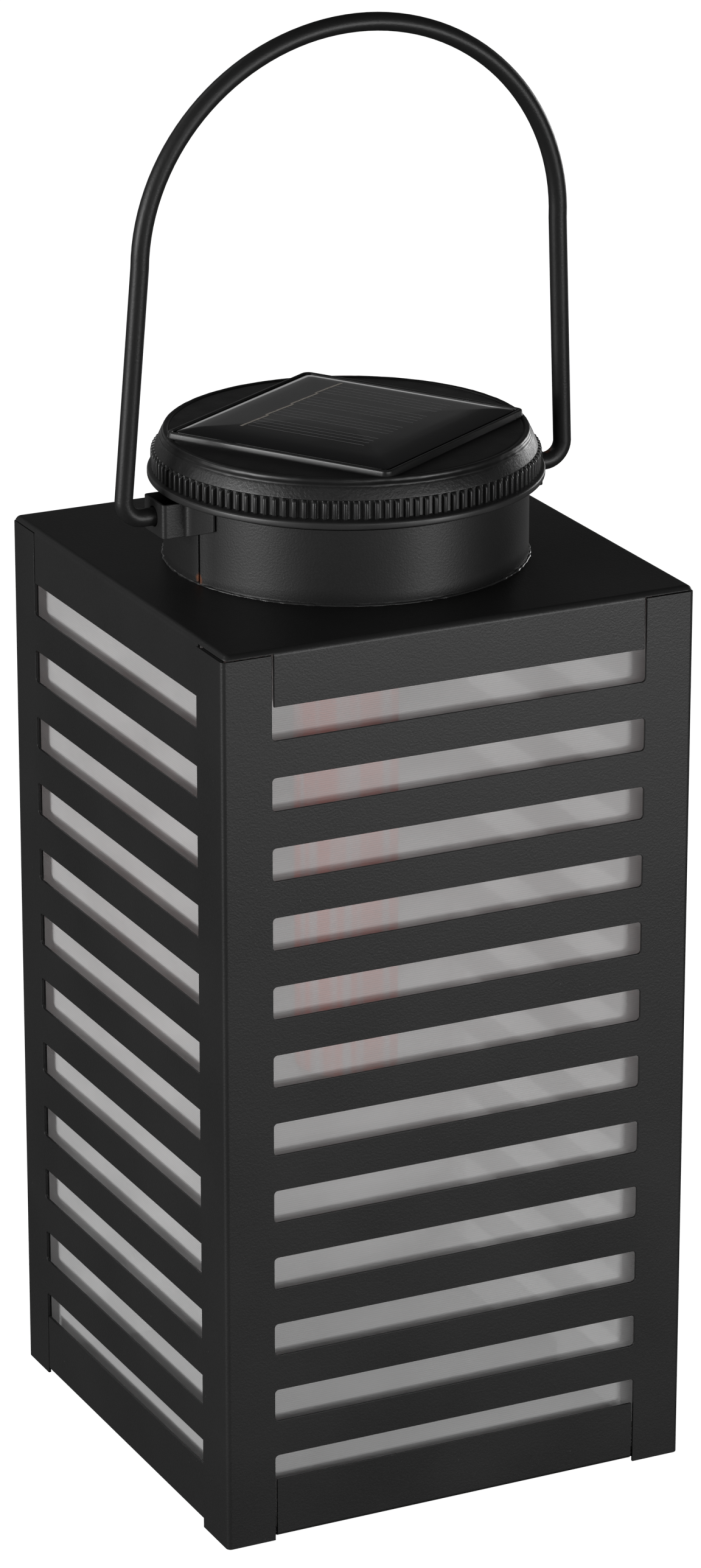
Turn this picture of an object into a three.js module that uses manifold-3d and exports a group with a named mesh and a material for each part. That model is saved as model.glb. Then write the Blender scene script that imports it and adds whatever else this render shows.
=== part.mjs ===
// Solar lantern: a square slotted sheet-metal lantern body with a frosted liner, a round collar on its
// lid, a lift-out solar cap with a hanging lamp, and a wire carrying handle.
// Millimetres. +Z is up, X runs along the handle's pivot line, the front face looks along -Y, and the
// origin is on the resting plane under the centre of the body.
import * as THREE from 'three';
import { mergeVertices } from 'three/addons/utils/BufferGeometryUtils.js';
import Module from 'manifold-3d';

const wasm = await Module();
wasm.setup();

// ---- driving dimensions -------------------------------------------------------------------------
const GAP = 0.3;                    // clearance left between pieces that touch

// Folded body, lid and base tray
const BODY = 140;                   // width and depth over the corner posts
const HALF = BODY / 2;
const SHEET = 0.8;                  // sheet-metal thickness
const FOLD_R = 1.4;                 // outside radius of the vertical folds
const LID_TOP = 257;                // height of the lid's top face
const LID_EDGE_R = 1.8;             // rolled edge round the lid
const POST_W = 14.5;                // width of a corner post on one face
const LAP_W = 16;                   // lap of the body's seam, welded over the left face
const SLOTS = 12;
const SLOT_TOP = 241.2;             // top edge of the uppermost slot
const SLOT_PITCH = 19.6;
const SLOT_H = 9.3;
const SLOT_R = 1.1;
const TRAY_BOTTOM = 1.1;            // the posts stand this far below the tray
const TRAY_FLANGE_TOP = 18.2;
const NOTCH = HALF - POST_W;        // half width of a slot
const LINER_GAP = 4.0;              // air between the sheet and the liner
const LINER_T = 0.6;
const LINER_CORNER = 4;

// Collar, brackets and handle
const COLLAR_R = 49.9;
const COLLAR_TOP = LID_TOP + 20.9;
const COLLAR_SEAM = THREE.MathUtils.degToRad(192);
const SEAM_W = 0.9;
const PIVOT_Z = LID_TOP + 17.3;     // height of the handle's pivot line
const BOSS_X = 57.6;                // outer face of a bracket's boss
const BOSS_HALF_W = 6.5;
const BRACKET_Z = [LID_TOP + 12.5, LID_TOP + 21.9];
const WING_ANGLE = THREE.MathUtils.degToRad(20);
const WIRE_R = 2.5;
const WIRE_HOLE_R = 2.8;
const LEG_X = 66.3;                 // leg spacing at the pivot line, halved
const ARCH_X = 62.3;                // leg spacing where the arch begins, halved
const ARCH_START = 70;              // height of the straight legs above the pivot line
const ARCH_TOP = 130.6;             // height of the arch above the pivot line
const WIRE_BEND_R = 5.4;
const LEAN = THREE.MathUtils.degToRad(3);

// Solar cap
const FLANGE_Z = LID_TOP + 22.3;
const FLANGE_R = 54.2;
const RIB_R = 53.2;
const RIBS = 120;
const RIB_DEPTH = 1.2;
const DISC_Z = LID_TOP + 35.3;      // flat top of the cap
const DISC_R = 50;
const PLATEAU_Z = DISC_Z + 1.5;     // rim of the solar panel's seat
const PLATEAU = 71;                 // side of the raised square seat
const PANEL = 67.2;                 // side of the solar panel
const POCKET = PANEL + 2 * GAP;
const POCKET_FLOOR = DISC_Z - 1.6;
const PANEL_TURN = THREE.MathUtils.degToRad(32);
const HOUSING_R = 47.4;
const HOUSING_TOP = FLANGE_Z - GAP;
const HOUSING_FLOOR = LID_TOP - 6;
const HOUSING_WALL = 1.6;

// Lamp
const LAMP_R = 14.5;
const LAMP_WALL = 1.2;
const LAMP_BOTTOM = 104;
const LED_SHEET_R = 11.2;
const LED_COLUMNS = 12;
const LED_ROWS = 5;

// ---- materials ----------------------------------------------------------------------------------
const finish = (color, roughness, metalness = 0) => (
  new THREE.MeshStandardMaterial({ color, roughness, metalness })
);
const paint = finish(0x2b2b2b, 0.55, 0.2);
const blackPlastic = finish(0x151515, 0.45);
const rubber = finish(0x101010, 0.8);
const frosted = finish(0xb9b9b9, 0.6);
const resin = finish(0x08080a, 0.08);
const silicon = finish(0x14161c, 0.3);
const steel = finish(0xb8b8b8, 0.3, 1);
const boardGreen = finish(0x1d5a34, 0.5);
const chipBlack = finish(0x1a1a1a, 0.4);
const batteryWrap = finish(0x3f6f4a, 0.4);
const phosphor = finish(0xd98a6a, 0.5);
const redWire = finish(0xa02020, 0.5);
const blackWire = finish(0x111111, 0.5);

// ---- geometry helpers ---------------------------------------------------------------------------
// A closed geometry as a Manifold solid: shared corners merged, empty triangles dropped.
function solid(geometry) {
  const bare = geometry.clone();
  bare.deleteAttribute('normal');
  bare.deleteAttribute('uv');
  const merged = mergeVertices(bare, 1e-4);
  const index = merged.index.array;
  const triangles = [];
  for (let i = 0; i < index.length; i += 3) {
    const corners = [index[i], index[i + 1], index[i + 2]];
    if (new Set(corners).size === 3) triangles.push(...corners);
  }
  return new wasm.Manifold(new wasm.Mesh({
    numProp: 3,
    vertProperties: merged.attributes.position.array,
    triVerts: new Uint32Array(triangles),
  }));
}

function surface(manifold) {
  const mesh = manifold.getMesh();
  const geometry = new THREE.BufferGeometry();
  geometry.setAttribute('position', new THREE.BufferAttribute(mesh.vertProperties, 3));
  geometry.setIndex(new THREE.BufferAttribute(mesh.triVerts, 1));
  geometry.computeVertexNormals();
  return geometry;
}

function union(...geometries) {
  return geometries.map(solid).reduce((whole, piece) => whole.add(piece));
}

function box(x0, x1, y0, y1, z0, z1) {
  const geometry = new THREE.BoxGeometry(x1 - x0, y1 - y0, z1 - z0);
  return geometry.translate((x0 + x1) / 2, (y0 + y1) / 2, (z0 + z1) / 2);
}

function roundedRect(x0, y0, x1, y1, r) {
  const shape = new THREE.Shape();
  shape.moveTo(x0 + r, y0);
  shape.lineTo(x1 - r, y0);
  shape.absarc(x1 - r, y0 + r, r, -Math.PI / 2, 0);
  shape.lineTo(x1, y1 - r);
  shape.absarc(x1 - r, y1 - r, r, 0, Math.PI / 2);
  shape.lineTo(x0 + r, y1);
  shape.absarc(x0 + r, y1 - r, r, Math.PI / 2, Math.PI);
  shape.lineTo(x0, y0 + r);
  shape.absarc(x0 + r, y0 + r, r, Math.PI, 1.5 * Math.PI);
  return shape;
}

// A shape in the XY plane raised from z0 to z1.
function prism(shape, z0, z1, curveSegments = 3) {
  const options = { depth: z1 - z0, bevelEnabled: false, curveSegments };
  return new THREE.ExtrudeGeometry(shape, options).translate(0, 0, z0);
}

// A shape whose second axis is height, running along Y from y0 to y1 or along X from x0 to x1.
function alongY(shape, y0, y1) {
  return prism(shape, 0, y1 - y0, 1).rotateX(Math.PI / 2).translate(0, y1, 0);
}

function alongX(shape, x0, x1) {
  return alongY(shape, x0, x1).rotateZ(-Math.PI / 2);
}

// A body of revolution about Z from a profile of [radius, height] corners, listed up the outside.
function turned(profile, segments) {
  const points = profile.map(([r, z]) => new THREE.Vector2(r, z));
  const onAxis = profile[0][0] === 0 && profile[profile.length - 1][0] === 0;
  if (!onAxis) points.push(points[0].clone());
  return new THREE.LatheGeometry(points, segments).rotateX(Math.PI / 2);
}

function tube(rOut, rIn, z0, z1, segments) {
  return turned([[rIn, z0], [rOut, z0], [rOut, z1], [rIn, z1]], segments);
}

function disc(r, z0, z1, segments) {
  return turned([[0, z0], [r, z0], [r, z1], [0, z1]], segments);
}

// A path whose sections each have their own number of steps, so tight bends are as smooth as long legs.
class SteppedPath extends THREE.Curve {
  constructor(sections) {
    super();
    this.sections = sections;
    this.total = sections.reduce((sum, section) => sum + section.steps, 0);
  }

  getPoint(t) {
    let step = t * this.total;
    let k = 0;
    while (k < this.sections.length - 1 && step > this.sections[k].steps) {
      step -= this.sections[k].steps;
      k += 1;
    }
    return this.sections[k].at(Math.min(1, step / this.sections[k].steps));
  }

  getPointAt(u) {
    return this.getPoint(u);
  }

  getTangentAt(u) {
    const reach = 0.4 / this.total;
    const ahead = this.getPoint(Math.min(1, u + reach));
    return ahead.sub(this.getPoint(Math.max(0, u - reach))).normalize();
  }

  getSpacedPoints(divisions) {
    return Array.from({ length: divisions + 1 }, (_, i) => this.getPoint(i / divisions));
  }
}

function roundWire(path, steps, r, sides) {
  const section = new THREE.Shape();
  for (let i = 0; i < sides; i += 1) {
    const a = (2 * Math.PI * i) / sides;
    if (i === 0) section.moveTo(r, 0);
    else section.lineTo(r * Math.cos(a), r * Math.sin(a));
  }
  return new THREE.ExtrudeGeometry(section, { steps, bevelEnabled: false, extrudePath: path });
}

// ---- folded body --------------------------------------------------------------------------------
// Outside face of the left panel: the seam's lap is welded over it, so it lies one sheet deeper.
const LEFT_FACE = -HALF + SHEET;

// Cutters for the slots: the uppermost is open at the top for the lid's skirt, and the lowest is open
// at the bottom for the tray's flange.
function slotCutters() {
  const cutters = [];
  for (let k = 0; k < SLOTS; k += 1) {
    const top = SLOT_TOP - k * SLOT_PITCH;
    const low = k === SLOTS - 1 ? -5 : top - SLOT_H;
    const high = k === 0 ? LID_TOP + 5 : top;
    const outline = roundedRect(-NOTCH, low, NOTCH, high, SLOT_R);
    cutters.push(alongY(outline, -HALF - 5, HALF + 5));
    cutters.push(alongX(outline, -HALF - 5, HALF + 5));
  }
  return cutters;
}

function bodyShell() {
  const postTop = LID_TOP - LID_EDGE_R + GAP;
  const outside = prism(roundedRect(LEFT_FACE, -HALF, HALF, HALF, FOLD_R), 0, postTop);
  const cavity = roundedRect(LEFT_FACE + SHEET, -HALF + SHEET, HALF - SHEET, HALF - SHEET, FOLD_R - SHEET);
  const inside = solid(prism(cavity, -5, LID_TOP + 5));
  let shell = solid(outside).subtract(inside);
  for (const cutter of slotCutters()) shell = shell.subtract(solid(cutter));
  const lapShape = roundedRect(-HALF, -HALF, -HALF + 12, -HALF + LAP_W, 0.35);
  const foldCorner = prism(roundedRect(-HALF, -HALF, HALF, HALF, FOLD_R), -5, LID_TOP + 5);
  const lapEdge = solid(box(LEFT_FACE + 0.1, HALF, -HALF + 3, HALF, -5, LID_TOP + 5));
  const lap = solid(prism(lapShape, 0, postTop))
    .intersect(solid(foldCorner))
    .subtract(inside)
    .subtract(lapEdge);
  return surface(shell.add(lap));
}

// The lid: a square pan with rolled edges, a round opening, and skirts between the corner posts.
function lid() {
  const skirtBottom = SLOT_TOP;
  const inset = HALF - LID_EDGE_R;
  const blank = roundedRect(LEFT_FACE + LID_EDGE_R, -inset, inset, inset, FOLD_R);
  const bevel = { bevelThickness: LID_EDGE_R, bevelSize: LID_EDGE_R, bevelSegments: 3, curveSegments: 3 };
  const block = new THREE.ExtrudeGeometry(blank, { depth: 30, ...bevel });
  block.translate(0, 0, LID_TOP - 30 - LID_EDGE_R);
  const pan = solid(block)
    .subtract(solid(box(-HALF - 5, HALF + 5, -HALF - 5, HALF + 5, 0, skirtBottom)))
    .subtract(solid(box(LEFT_FACE + SHEET, HALF - SHEET, -HALF + SHEET, HALF - SHEET, 0, LID_TOP - SHEET)))
    .subtract(solid(disc(COLLAR_R - SHEET, LID_TOP - 10, LID_TOP + 10, 48)));
  return surface(cornersCut(pan, 0, LID_TOP - LID_EDGE_R + 2 * GAP));
}

// Skirts stop short of the corner posts: the corners are cut away between two heights.
function cornersCut(pan, low, high) {
  const inner = NOTCH - GAP;
  let cut = pan;
  for (const sx of [-1, 1]) {
    for (const sy of [-1, 1]) {
      const overLap = sx < 0 && sy < 0;
      const y = overLap ? HALF - LAP_W - GAP : inner;
      const xs = [sx * inner, sx * (HALF + 5)].sort((a, b) => a - b);
      const ys = [sy * y, sy * (HALF + 5)].sort((a, b) => a - b);
      cut = cut.subtract(solid(box(...xs, ...ys, low, high)));
    }
  }
  return cut;
}

// The base: a flat pan whose flanges stand up between the corner posts, with tabs inside the liner.
function baseTray() {
  const outside = box(LEFT_FACE, HALF, -HALF, HALF, TRAY_BOTTOM, TRAY_FLANGE_TOP);
  const inside = box(LEFT_FACE + SHEET, HALF - SHEET, -HALF + SHEET, HALF - SHEET,
    TRAY_BOTTOM + SHEET, TRAY_FLANGE_TOP + 5);
  const floorX = [LEFT_FACE + SHEET + GAP, HALF - SHEET - GAP];
  const floorY = HALF - SHEET - GAP;
  const floor = box(...floorX, -floorY, floorY, TRAY_BOTTOM, TRAY_BOTTOM + SHEET);
  let tray = cornersCut(solid(outside).subtract(solid(inside)), 0, TRAY_FLANGE_TOP + 5).add(solid(floor));
  const tabOut = HALF - SHEET - LINER_GAP - LINER_T - GAP;
  for (let k = 0; k < 4; k += 1) {
    const tab = box(tabOut - SHEET, tabOut, -7, 7, TRAY_BOTTOM + SHEET / 2, TRAY_BOTTOM + 8);
    tray = tray.add(solid(tab.rotateZ((k * Math.PI) / 2)));
  }
  return surface(tray);
}

function liner() {
  const out = HALF - SHEET - LINER_GAP;
  const inner = out - LINER_T;
  const shape = roundedRect(-out, -out, out, out, LINER_CORNER);
  shape.holes.push(roundedRect(-inner, -inner, inner, inner, LINER_CORNER - LINER_T));
  return prism(shape, TRAY_BOTTOM + SHEET + GAP, LID_TOP - SHEET - GAP, 6);
}

// ---- collar and brackets ------------------------------------------------------------------------
// A rolled strip with a vertical butt seam.
function collar() {
  const inner = COLLAR_R - SHEET;
  const slit = SEAM_W / 2 / COLLAR_R;
  const from = COLLAR_SEAM + slit;
  const to = COLLAR_SEAM - slit + 2 * Math.PI;
  const shape = new THREE.Shape();
  shape.absarc(0, 0, COLLAR_R, from, to, false);
  shape.absarc(0, 0, inner, to, from, true);
  return prism(shape, LID_TOP + GAP, COLLAR_TOP, 60);
}

function collarBead() {
  const r = COLLAR_R + GAP;
  return turned([[r, LID_TOP + GAP], [r + 0.9, LID_TOP + GAP], [r, LID_TOP + 1.1]], 48);
}

// A hat-shaped strap: a hollow boss for the wire between two wings that follow the collar.
function bracket(side) {
  const rIn = COLLAR_R + GAP;
  const rOut = rIn + SHEET;
  const inHalf = BOSS_HALF_W - SHEET;
  const bossIn = BOSS_X - SHEET;
  const outAngle = Math.asin(BOSS_HALF_W / rOut);
  const inAngle = Math.asin(inHalf / rIn);
  const shape = new THREE.Shape();
  shape.absarc(0, 0, rOut, -WING_ANGLE, -outAngle, false);
  shape.lineTo(BOSS_X - 1.2, -BOSS_HALF_W);
  shape.absarc(BOSS_X - 1.2, -BOSS_HALF_W + 1.2, 1.2, -Math.PI / 2, 0, false);
  shape.absarc(BOSS_X - 1.2, BOSS_HALF_W - 1.2, 1.2, 0, Math.PI / 2, false);
  shape.absarc(0, 0, rOut, outAngle, WING_ANGLE, false);
  shape.absarc(0, 0, rIn, WING_ANGLE, inAngle, true);
  shape.lineTo(bossIn, inHalf);
  shape.lineTo(bossIn, -inHalf);
  shape.absarc(0, 0, rIn, -inAngle, -WING_ANGLE, true);
  const [low, high] = BRACKET_Z;
  const strap = solid(prism(shape, low, high, 4));
  const hole = new THREE.CylinderGeometry(WIRE_HOLE_R, WIRE_HOLE_R, 12, 16).rotateZ(Math.PI / 2);
  let cut = strap.subtract(solid(hole.translate(BOSS_X, 0, PIVOT_Z)));
  for (const end of [-1, 1]) {
    const taper = new THREE.Shape();
    taper.moveTo(end * (BOSS_HALF_W + 1), low - 1);
    taper.lineTo(end * 20, low - 1);
    taper.lineTo(end * 20, low + 3.8);
    cut = cut.subtract(solid(alongX(taper, 40, 62)));
  }
  const geometry = surface(cut);
  return side > 0 ? geometry : geometry.rotateZ(Math.PI);
}

// ---- handle -------------------------------------------------------------------------------------
// The bail, drawn upright about the pivot line: end runs into the bosses, tight bends, straight legs
// that draw in a little, and a half-ellipse arch.
function handle() {
  const endX = BOSS_X - 4.6;
  const bendX = LEG_X - WIRE_BEND_R;
  const rise = ARCH_TOP - ARCH_START;
  const half = (s) => {
    const point = (x, z) => new THREE.Vector3(s * x, 0, z);
    return {
      run: (t) => point(endX + (bendX - endX) * t, 0),
      bend: (t) => {
        const a = (t * Math.PI) / 2;
        return point(bendX + WIRE_BEND_R * Math.sin(a), WIRE_BEND_R * (1 - Math.cos(a)));
      },
      leg: (t) => point(LEG_X + (ARCH_X - LEG_X) * t, WIRE_BEND_R + (ARCH_START - WIRE_BEND_R) * t),
    };
  };
  const left = half(-1);
  const right = half(1);
  const arch = (t) => new THREE.Vector3(
    -ARCH_X * Math.cos(Math.PI * t), 0, ARCH_START + rise * Math.sin(Math.PI * t));
  const path = new SteppedPath([
    { steps: 1, at: left.run },
    { steps: 5, at: left.bend },
    { steps: 3, at: left.leg },
    { steps: 28, at: arch },
    { steps: 3, at: (t) => right.leg(1 - t) },
    { steps: 5, at: (t) => right.bend(1 - t) },
    { steps: 1, at: (t) => right.run(1 - t) },
  ]);
  return roundWire(path, path.total, WIRE_R, 10).rotateX(LEAN).translate(0, 0, PIVOT_Z);
}

// ---- solar cap ----------------------------------------------------------------------------------
// The grip ring's outline: a knurl of plain teeth.
function ribOutline() {
  const shape = new THREE.Shape();
  const root = RIB_R - RIB_DEPTH;
  for (let k = 0; k < 2 * RIBS; k += 1) {
    const a = (k * Math.PI) / RIBS;
    const r = k % 2 ? RIB_R : root;
    if (k === 0) shape.moveTo(r, 0);
    else shape.lineTo(r * Math.cos(a), r * Math.sin(a));
  }
  return shape;
}

function capCover() {
  const wall = 2;
  const floor = 2;
  const innerR = RIB_R - RIB_DEPTH - wall;
  const body = turned([
    [HOUSING_R + 0.4, FLANGE_Z],
    [FLANGE_R - 0.4, FLANGE_Z],
    [FLANGE_R, FLANGE_Z + 0.5],
    [FLANGE_R, FLANGE_Z + 1.4],
    [FLANGE_R - 0.5, FLANGE_Z + 1.9],
    [RIB_R - RIB_DEPTH, FLANGE_Z + 2.2],
    [RIB_R - RIB_DEPTH, FLANGE_Z + 7.2],
    [RIB_R - 1.4, FLANGE_Z + 7.4],
    [RIB_R - 2.6, FLANGE_Z + 10.7],
    [RIB_R - 2.8, FLANGE_Z + 12],
    [DISC_R + 0.1, FLANGE_Z + 12.1],
    [DISC_R, DISC_Z - 0.3],
    [DISC_R - 0.4, DISC_Z],
    [0, DISC_Z],
    [0, DISC_Z - floor],
    [innerR - 1.5, DISC_Z - floor],
    [innerR, FLANGE_Z + 9],
    [innerR, FLANGE_Z + 3],
    [HOUSING_R + 0.4, FLANGE_Z + 3],
  ], 60);
  const ribs = prism(ribOutline(), FLANGE_Z + 2.5, FLANGE_Z + 7.3);
  const bore = disc(RIB_R - RIB_DEPTH - 1, FLANGE_Z, DISC_Z, 60);
  const grip = solid(ribs).subtract(solid(bore));
  const seat = roundedRect(-PLATEAU / 2, -PLATEAU / 2, PLATEAU / 2, PLATEAU / 2, 3.2);
  const pocket = roundedRect(-POCKET / 2, -POCKET / 2, POCKET / 2, POCKET / 2, 2.2);
  const padded = solid(prism(seat, POCKET_FLOOR - 1.4, PLATEAU_Z, 4))
    .subtract(solid(prism(pocket, POCKET_FLOOR, PLATEAU_Z + 5, 4)));
  const opening = solid(prism(pocket, POCKET_FLOOR, PLATEAU_Z + 5, 4));
  const leads = solid(box(-4, 4, 8, 12, POCKET_FLOOR - 6, PLATEAU_Z + 5));
  const turn = (piece) => piece.rotate([0, 0, THREE.MathUtils.radToDeg(PANEL_TURN)]);
  let cover = solid(body).add(grip).add(turn(padded)).subtract(turn(opening)).subtract(turn(leads));
  for (const [x, y] of BOSSES) {
    const post = rod(3.4, x, y, BOSS_TOP + GAP, DISC_Z - floor + 0.5);
    cover = cover.add(solid(post)).subtract(solid(rod(1.7, x, y, BOSS_TOP, FLANGE_Z + 7, 12)));
  }
  return surface(cover);
}

// ---- solar panel --------------------------------------------------------------------------------
const BACKING_Z = POCKET_FLOOR + GAP;
const CELL_Z = BACKING_Z + 1.2 + GAP;
const RESIN_Z = CELL_Z + 1;
const CELLS = 4;
const CELL_PITCH = 12.5;
const CELL_LENGTH = 38.5;
const CELL_OFFSET = 2.7;            // the cells sit off centre under the resin
const onPanel = (geometry) => geometry.rotateZ(PANEL_TURN);

function cellCentre(k) {
  return CELL_OFFSET + (k - (CELLS - 1) / 2) * CELL_PITCH;
}

function solarBacking() {
  const outline = roundedRect(-PANEL / 2, -PANEL / 2, PANEL / 2, PANEL / 2, 2);
  const board = solid(prism(outline, BACKING_Z, BACKING_Z + 1.2));
  return onPanel(surface(board.subtract(solid(box(-3, 3, 9, 11, BACKING_Z - 1, BACKING_Z + 2)))));
}

function solarCell(k) {
  const half = (CELL_PITCH - 0.4) / 2;
  const u = cellCentre(k);
  return onPanel(box(u - half, u + half, -CELL_LENGTH / 2, CELL_LENGTH / 2, CELL_Z, CELL_Z + 0.2));
}

// One tinned ribbon joins the cells: a slightly turned stretch over each, lapping the next.
function cellRibbon() {
  const low = CELL_Z + 0.4;
  const stretches = [];
  for (let k = 0; k < CELLS; k += 1) {
    const stretch = box(-6.6, 6.6, -0.5, 0.5, low, low + 0.12);
    stretches.push(stretch.rotateZ(-0.03).translate(cellCentre(k), CELL_LENGTH / 2 - 1, 0));
  }
  return onPanel(surface(union(...stretches)));
}

// Cast resin over the cells, with a low dome: stacked insets of the outline.
function resinDome() {
  const half = PANEL / 2;
  const outline = roundedRect(-half + 1.2, -half + 1.2, half - 1.2, half - 1.2, 1.6);
  const bevel = { bevelThickness: 0.7, bevelSize: 1.2, bevelSegments: 3, curveSegments: 4 };
  const slab = new THREE.ExtrudeGeometry(outline, { depth: 3, ...bevel });
  slab.translate(0, 0, PLATEAU_Z + 0.9 - 3 - bevel.bevelThickness);
  const flat = box(-40, 40, -40, 40, RESIN_Z - 10, RESIN_Z);
  return onPanel(surface(solid(slab).subtract(solid(flat))));
}

// ---- lower housing and what it holds ------------------------------------------------------------
const INNER_FLOOR = HOUSING_FLOOR + HOUSING_WALL;
const BOSSES = [[34.6, 20], [-34.6, 20], [0, -40]];
const BOSS_TOP = LID_TOP + 13;
const BATTERY_Y = -26;
const BATTERY_R = 7.15;
const BATTERY_Z = INNER_FLOOR + 0.4 + BATTERY_R;
const BAY = { x: 28.6, y0: BATTERY_Y - 8.2, y1: BATTERY_Y + 8.2, top: BATTERY_Z + BATTERY_R + 1.2 };
const DOOR_TAB_X = 36;
const DOOR_SCREW_X = 33;
const SOCKET_R = LAMP_R + GAP + 1.8;
const SOCKET_BOTTOM = HOUSING_FLOOR - 7;
const SWITCH_Y = 26;
const SWITCH_TRAVEL = 3;
const BOARD_Z = LID_TOP + 15;
const BOARD = { x: 22, y0: -8, y1: 32, t: 1.2 };
const STANDOFFS = [[16, 28], [-16, 28], [17, -4], [-17, -4]];

function rod(r, x, y, z0, z1, sides = 16) {
  const cylinder = new THREE.CylinderGeometry(r, r, z1 - z0, sides).rotateX(Math.PI / 2);
  return cylinder.translate(x, y, (z0 + z1) / 2);
}

function lowerHousing() {
  const cup = turned([
    [0, HOUSING_FLOOR],
    [HOUSING_R - 2, HOUSING_FLOOR],
    [HOUSING_R, HOUSING_FLOOR + 2],
    [HOUSING_R, HOUSING_TOP],
    [HOUSING_R - HOUSING_WALL, HOUSING_TOP],
    [HOUSING_R - HOUSING_WALL, INNER_FLOOR],
    [0, INNER_FLOOR],
  ], 48);
  const wall = 1.4;
  const bayX = BAY.x + wall;
  const bay = box(-bayX, bayX, BAY.y0 - wall, BAY.y1 + wall, INNER_FLOOR - 0.5, BAY.top + wall);
  let housing = solid(cup).add(solid(bay));
  housing = housing.add(solid(tube(SOCKET_R, LAMP_R + GAP, SOCKET_BOTTOM, HOUSING_FLOOR + 0.5, 32)));
  for (const [x, y] of BOSSES) housing = housing.add(solid(rod(3.9, x, y, INNER_FLOOR - 0.5, BOSS_TOP)));
  for (const [x, y] of STANDOFFS) {
    housing = housing.add(solid(rod(2.4, x, y, INNER_FLOOR - 0.5, BOARD_Z - GAP)));
  }
  const doorBoss = box(BAY.x + 0.9, DOOR_TAB_X + 0.4, BATTERY_Y - 3, BATTERY_Y + 3,
    INNER_FLOOR - 0.5, INNER_FLOOR + 9);
  housing = housing.add(solid(doorBoss));
  const cuts = [
    box(-BAY.x, BAY.x, BAY.y0, BAY.y1, HOUSING_FLOOR - 1, BAY.top),
    box(BAY.x - 1, DOOR_TAB_X, BATTERY_Y - 4, BATTERY_Y + 4, HOUSING_FLOOR - 1, INNER_FLOOR),
    rod(1.3, DOOR_SCREW_X, BATTERY_Y, HOUSING_FLOOR, INNER_FLOOR + 7, 12),
    rod(10, 0, 0, HOUSING_FLOOR - 1, INNER_FLOOR + 1, 24),
    box(-4, 4, SWITCH_Y - 1.7, SWITCH_Y + 1.7, HOUSING_FLOOR - 1, INNER_FLOOR + 1),
    box(-BAY.x + 0.1, -BAY.x + 1, BATTERY_Y - 2.5, BATTERY_Y + 2.5, BAY.top - 1, BAY.top + 3),
    box(BAY.x - 1, BAY.x - 0.1, BATTERY_Y - 2.5, BATTERY_Y + 2.5, BAY.top - 1, BAY.top + 3),
  ];
  for (const [x, y] of BOSSES) {
    cuts.push(rod(2.9, x, y, HOUSING_FLOOR - 1, INNER_FLOOR + 9));
    cuts.push(rod(1.7, x, y, INNER_FLOOR + 8, BOSS_TOP + 1));
  }
  for (const [x, y] of STANDOFFS) cuts.push(rod(1.2, x, y, BOARD_Z - 7, BOARD_Z + 1, 10));
  for (const cut of cuts) housing = housing.subtract(solid(cut));
  return surface(housing);
}

function housingScrew([x, y]) {
  const head = rod(2.6, x, y, INNER_FLOOR + 6.6, INNER_FLOOR + 8.7);
  return surface(union(head, rod(1.4, x, y, INNER_FLOOR + 8, FLANGE_Z + 6, 10)));
}

function batteryCover() {
  const top = HOUSING_FLOOR + 1.4;
  const plate = box(-BAY.x + GAP, BAY.x - GAP, BAY.y0 + GAP, BAY.y1 - GAP, HOUSING_FLOOR, top);
  const tab = box(BAY.x - 2, DOOR_TAB_X - GAP, BATTERY_Y - 4 + GAP, BATTERY_Y + 4 - GAP, HOUSING_FLOOR, top);
  const hole = rod(1.4, DOOR_SCREW_X, BATTERY_Y, HOUSING_FLOOR - 1, top + 1, 12);
  return surface(union(plate, tab).subtract(solid(hole)));
}

function batteryCoverScrew() {
  const head = rod(2.3, DOOR_SCREW_X, BATTERY_Y, HOUSING_FLOOR - 1.7, HOUSING_FLOOR - GAP);
  const shank = rod(1, DOOR_SCREW_X, BATTERY_Y, HOUSING_FLOOR - 1, INNER_FLOOR + 6, 10);
  return surface(union(head, shank));
}

function battery() {
  const profile = [[0, -24], [6.4, -24], [BATTERY_R, -23.4], [BATTERY_R, 23.6], [6.4, 24.2], [2.7, 24.2],
    [2.7, 25.5], [0, 25.5]];
  return turned(profile, 24).rotateY(Math.PI / 2).translate(1.6, BATTERY_Y, BATTERY_Z);
}

function batteryPlate(side) {
  const x = [side * (BAY.x - 0.3), side * (BAY.x - 0.6)].sort((a, b) => a - b);
  const plate = box(...x, BATTERY_Y - 5, BATTERY_Y + 5, BATTERY_Z - 5, BATTERY_Z + 5);
  const lug = box(...x, BATTERY_Y - 1.6, BATTERY_Y + 1.6, BATTERY_Z, BAY.top + 4);
  return surface(union(plate, lug));
}

// The minus contact is a plate with a tapered coil spring pressed onto it.
function batterySpring() {
  const turns = 3;
  const start = -BAY.x + 0.5;
  const coil = (t) => {
    const a = 2 * Math.PI * turns * t;
    const r = 4.2 - 1.6 * t;
    return new THREE.Vector3(start + 5.1 * t, BATTERY_Y + r * Math.cos(a), BATTERY_Z + r * Math.sin(a));
  };
  const path = new SteppedPath([{ steps: turns * 9, at: coil }]);
  return surface(solid(batteryPlate(-1)).add(solid(roundWire(path, path.total, 0.35, 5))));
}

function circuitBoard() {
  let board = solid(box(-BOARD.x, BOARD.x, BOARD.y0, BOARD.y1, BOARD_Z, BOARD_Z + BOARD.t));
  for (const [x, y] of STANDOFFS) board = board.subtract(solid(rod(1.4, x, y, BOARD_Z - 1, BOARD_Z + 3, 10)));
  return surface(board);
}

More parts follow.
